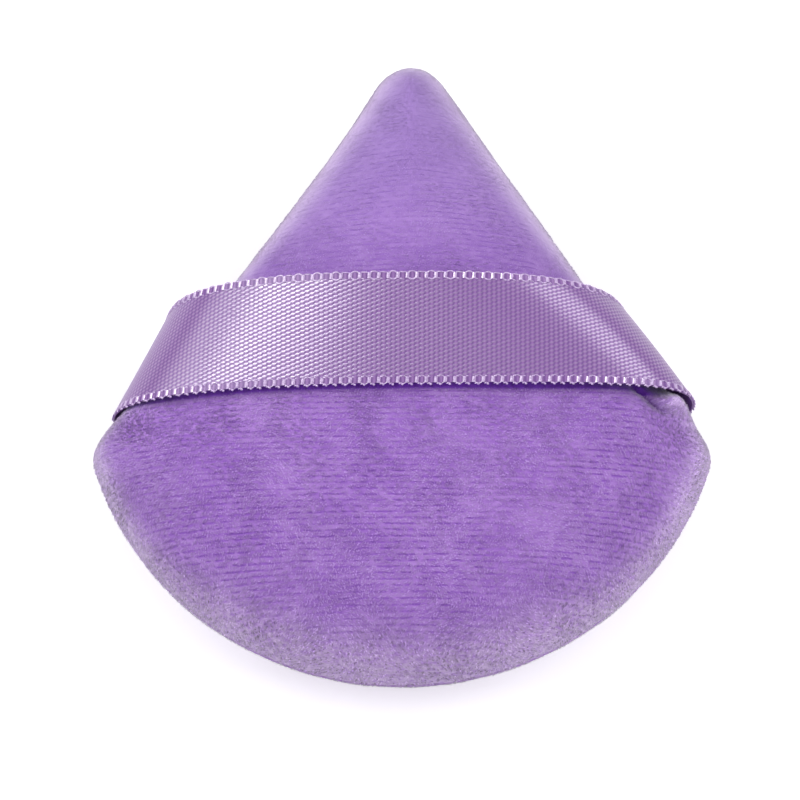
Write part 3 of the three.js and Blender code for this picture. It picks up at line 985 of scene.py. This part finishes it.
def velourPile(finish):
    material, tree, shader = newMaterial("velour_pile")
    place, shown, brushed, upper, paleEdge, paintedShadowLine = velourPattern(tree, finish)
    tip = node(tree, "ShaderNodeAttribute", attribute_name="tip").outputs["Fac"]
    toneMark = node(tree, "ShaderNodeAttribute", attribute_name="tone").outputs["Fac"]
    rim, rough = rimTint(tree, place)
    light = maths(tree, "MULTIPLY_ADD", toneMark, 0.45, maths(tree, "MULTIPLY", brushed, 0.65), clamp=True)
    tone = mixColours(tree, light, finish["pile"], finish["brushed"])
    tone = mixColours(tree, maths(tree, "MULTIPLY", shown, 0.85), tone, finish["course"])
    # painted shade: darker towards each tuft's root
    tone = mixColours(tree, ramp(tree, tip, 0.0, 0.6, 0.5, 0.0), tone, finish["root"])
    # painted sheen and light towards the tip
    tone = mixColours(tree, upper, tone, finish["upper"])
    # pale edge: partly wear, partly painted sheen and light
    tone = mixColours(tree, maths(tree, "MULTIPLY", rim, 0.8), tone, paleEdge)
    # painted shadow beneath the ribbon's lower edge
    tone = mixColours(tree, paintedShadowLine, tone, finish["paintedShadow"])
    spread = maths(tree, "MULTIPLY_ADD", upper, -0.1, maths(tree, "ADD", rough, 0.3))
    level = maths(tree, "MULTIPLY_ADD", maths(tree, "SUBTRACT", toneMark, 0.5), spread, 1.0)
    dim = node(tree, "ShaderNodeVectorMath", operation="SCALE")
    feed(tree, dim.inputs[0], tone)
    feed(tree, dim.inputs["Scale"], level)
    tone = dim.outputs[0]
    feed(tree, shader.inputs["Base Color"], tone)
    setInputs(shader, finish["surface"])
    return material


satinFinish = {
    "float": colour(152, 114, 175),
    "dip": colour(118, 80, 147),
    "columnPitch": 0.54 * mm,
    "dotPitch": 0.47 * mm,
    "slope": -4.0,  # degrees, the rows fall to the right
    "surface": {"Roughness": 0.28, "IOR": 1.75, "Anisotropic": 0.5, "Anisotropic Rotation": 0.25},
}


def satinMaterial(finish):  # staggered floats in columns, which catch the light
    material, tree, shader = newMaterial("satin")
    weave = node(tree, "ShaderNodeUVMap", uv_map="weave").outputs[0]
    split = node(tree, "ShaderNodeSeparateXYZ")
    feed(tree, split.inputs[0], weave)
    along = maths(tree, "MULTIPLY", split.outputs["X"], 2 * strap["reach"])
    across = maths(tree, "MULTIPLY", split.outputs["Y"], strap["width"])
    lean = maths(tree, "MULTIPLY_ADD", along, -math.tan(math.radians(finish["slope"])), across)
    turn = 2 * math.pi
    rows = maths(tree, "MULTIPLY", lean, turn / finish["dotPitch"])
    stagger = maths(tree, "MULTIPLY", along, turn / (2 * finish["columnPitch"]))
    rising = maths(tree, "COSINE", maths(tree, "SUBTRACT", rows, stagger))
    falling = maths(tree, "COSINE", maths(tree, "ADD", rows, stagger))
    column = maths(tree, "COSINE", maths(tree, "MULTIPLY", stagger, 2.0))
    dashes = maths(tree, "MULTIPLY_ADD", falling, 0.35, maths(tree, "MULTIPLY", rising, 0.65))
    fromMiddle = maths(tree, "ABSOLUTE", maths(tree, "SUBTRACT", across, strap["width"] / 2))
    selvedge = ramp(tree, fromMiddle, 5.3 * mm, 5.5 * mm, 1.0, 0.0)
    dots = maths(tree, "MULTIPLY", ramp(tree, dashes, -0.38, 0.6), selvedge)
    ribs = maths(tree, "MULTIPLY_ADD", column, 0.44, maths(tree, "MULTIPLY_ADD", dots, 0.10, 0.44), clamp=True)
    feed(tree, shader.inputs["Base Color"], mixColours(tree, ribs, finish["dip"], finish["float"]))
    relief = maths(tree, "MULTIPLY_ADD", column, 0.12, dots)
    feed(tree, shader.inputs["Normal"], bump(tree, relief, 0.22, 0.05 * mm))
    feed(tree, shader.inputs["Specular IOR Level"], maths(tree, "MULTIPLY_ADD", dots, 0.8, 0.17))
    setInputs(shader, finish["surface"])
    tangent = node(tree, "ShaderNodeTangent", direction_type="UV_MAP", uv_map="weave")
    feed(tree, shader.inputs["Tangent"], tangent.outputs[0])
    return material


loopFinish = {
    "thread": colour(200, 172, 218),
    "shade": colour(168, 136, 194),
    "surface": {"Roughness": 0.3, "IOR": 1.65, "Specular IOR Level": 0.9, "Sheen Weight": 0.2},
}


def loopMaterial(finish):
    material, tree, shader = newMaterial("edge_loops")
    place = node(tree, "ShaderNodeTexCoord").outputs["Object"]
    twist = noise(tree, place, 3800, 2, 0.5)
    tone = mixColours(tree, ramp(tree, twist, 0.35, 0.6), finish["shade"], finish["thread"])
    feed(tree, shader.inputs["Base Color"], tone)
    feed(tree, shader.inputs["Normal"], bump(tree, twist, 0.4, 0.05 * mm))
    setInputs(shader, finish["surface"])
    return material


def foamMaterial():
    material, tree, shader = newMaterial("foam")
    place = node(tree, "ShaderNodeTexCoord").outputs["Object"]
    cells = node(tree, "ShaderNodeTexVoronoi")
    feed(tree, cells.inputs["Vector"], place)
    setInputs(cells, {"Scale": 1600})
    wall = ramp(tree, cells.outputs["Distance"], 0.1, 0.6)
    feed(tree, shader.inputs["Base Color"], mixColours(tree, wall, colour(196, 178, 148), colour(240, 228, 202)))
    feed(tree, shader.inputs["Normal"], bump(tree, wall, 0.7, 0.2 * mm))
    setInputs(shader, {"Roughness": 0.9})
    return material


def threadMaterial():
    material, tree, shader = newMaterial("sewing_thread")
    place = node(tree, "ShaderNodeTexCoord").outputs["Object"]
    twist = noise(tree, place, 5200, 2, 0.5)
    feed(tree, shader.inputs["Base Color"], mixColours(tree, twist, colour(104, 66, 150), colour(150, 110, 190)))
    feed(tree, shader.inputs["Normal"], bump(tree, twist, 0.5, 0.05 * mm))
    setInputs(shader, {"Roughness": 0.6})
    return material


foam = foamBlock("puff_foam", foamCut)
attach(foam, "puff")
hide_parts("foam_core")


def dress(piece, material):
    piece.data.materials.clear()
    piece.data.materials.append(material)


ground, tuftFinish = velourGround(velourFinish), velourPile(velourFinish)
for piece in (puffTop, puffLow):
    dress(piece, ground)
for piece in (handPile, powderPile):
    dress(piece, tuftFinish)
dress(ribbon, satinMaterial(satinFinish))
loopsFinish = loopMaterial(loopFinish)
dress(lowerLoops, loopsFinish)
dress(upperLoops, loopsFinish)
dress(foam, foamMaterial())
threads = threadMaterial()
for name in (
        "seam_needle_thread", "seam_bobbin_thread", "closing_thread", "left_basting_thread", "right_basting_thread"):
    dress(bpy.data.objects[name], threads)
print("materials dressed")

studio = {
    "floor": {
        "Base Color": colour(246, 245, 247),
        "Roughness": 0.9,
        "Specular IOR Level": 0.1,
        "Emission Color": (1.0, 1.0, 1.0, 1.0),
    },
    "floorGlow": (0.12, 0.6, 0.3, 0.62),  # near and far, and how much at each
    "world": 0.48,
    "mirrored": 0.2,  # the world as shiny threads see it
    "lamps": {
        "leftShine": {"place": (-0.24, 0.085, 0.60), "size": (0.24, 0.36), "power": 5.4, "for": "satin"},
        "farShine": {"place": (-0.50, 0.085, 0.36), "size": (0.07, 0.34), "power": 0.7, "for": "satin"},
        "rightShine": {"place": (0.43, 0.29, 0.41), "size": (0.44, 0.40), "power": 1.75, "for": "satin"},
        "left": {"place": (-0.48, 0.05, 0.42), "size": (0.40, 0.40), "power": 1.35, "for": "velour"},
        "right": {"place": (0.40, 0.0, 0.44), "size": (0.40, 0.40), "power": 1.45, "for": "velour"},
        "front": {"place": (0.05, -0.40, 0.46), "size": (0.34, 0.34), "power": 0.5, "for": "velour"},
        "top": {"place": (0.0, 0.14, 0.62), "size": (0.50, 0.50), "power": 0.35, "for": "velour"},
        "back": {"place": (-0.40, 0.36, 0.30), "size": (0.30, 0.30), "power": 0.7, "for": "velour"},
    },
}


def lightStudio(plan):
    scene = bpy.context.scene
    scene.view_settings.view_transform = "Standard"
    world = scene.world or bpy.data.worlds.new("World")
    scene.world = world
    world.use_nodes = True
    background = world.node_tree.nodes["Background"]
    setInputs(background, {"Color": (1, 1, 1, 1)})
    sky = world.node_tree
    path = node(sky, "ShaderNodeLightPath")
    seen = maths(sky, "MULTIPLY_ADD", path.outputs["Is Camera Ray"], 1 - plan["world"], plan["world"])
    seen = maths(sky, "MULTIPLY_ADD", path.outputs["Is Glossy Ray"], plan["mirrored"] - plan["world"], seen)
    feed(sky, background.inputs["Strength"], seen)  # white to look at
    for name, lamp in plan["lamps"].items():
        dropSelection()
        bpy.ops.object.light_add(type="AREA", location=lamp["place"])
        light = bpy.context.object
        light.name = name
        light.data.shape = "RECTANGLE"
        light.data.size, light.data.size_y = lamp["size"]
        light.data.energy = lamp["power"]
        light.visible_glossy = lamp["for"] == "satin"  # a shine on it, and no more
        light.visible_diffuse = lamp["for"] == "velour"
        aim = -np.array(lamp["place"]) + np.array([0, 0, 0.01])
        light.rotation_euler = Vector(aim).to_track_quat("-Z", "Y").to_euler()
    dropSelection()
    bpy.ops.mesh.primitive_plane_add(size=6, location=(0, 0, -0.05 * mm))
    floor = justAdded("floor")
    material, tree, shader = newMaterial("floor")
    setInputs(shader, plan["floor"])
    path = node(tree, "ShaderNodeLightPath")
    away = node(tree, "ShaderNodeVectorMath", operation="LENGTH")
    feed(tree, away.inputs[0], node(tree, "ShaderNodeTexCoord").outputs["Object"])
    glow = ramp(tree, away.outputs["Value"], *plan["floorGlow"])  # as white far off as near by
    feed(tree, shader.inputs["Emission Strength"], maths(tree, "MULTIPLY", path.outputs["Is Camera Ray"], glow))
    dress(floor, material)


lightStudio(studio)
print("studio lit")
